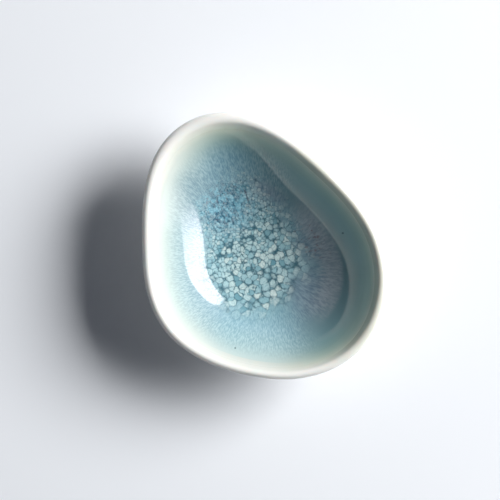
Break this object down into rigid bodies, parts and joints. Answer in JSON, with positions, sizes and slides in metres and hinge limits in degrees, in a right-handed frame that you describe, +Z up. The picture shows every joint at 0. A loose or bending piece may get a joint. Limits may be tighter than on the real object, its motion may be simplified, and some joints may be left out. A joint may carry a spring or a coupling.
{
  "type": "dip bowl",
  "caption": "Small pebble-shaped dip bowl on a low foot ring: glazed stoneware with a white lip, a celadon lining and crystalline glaze on the floor.",
  "frame": {"origin": "the middle of the bowl's box, on the plane that the foot ring stands on", "axes": "+X along the bowl towards its narrow end, +Y across it, +Z up out of the bowl's mouth"},
  "size_m": [0.0998, 0.0802, 0.029],
  "materials": {
    "bare_clay": "unglazed, fine matt stoneware",
    "white_glaze": "glossy milk-white glaze",
    "celadon_glaze": "glossy celadon to turquoise glaze with fine radial fibres",
    "crystal_glaze": "glossy deep teal glaze crowded with pale crystals"
  },
  "bodies": {
    "root": {"clay_body": "bare_clay", "foot_ring": "bare_clay", "outer_glaze": "white_glaze", "inner_glaze": "celadon_glaze", "crystal_pool": "crystal_glaze", "base_glaze": "white_glaze"}
  },
  "joints": []
}
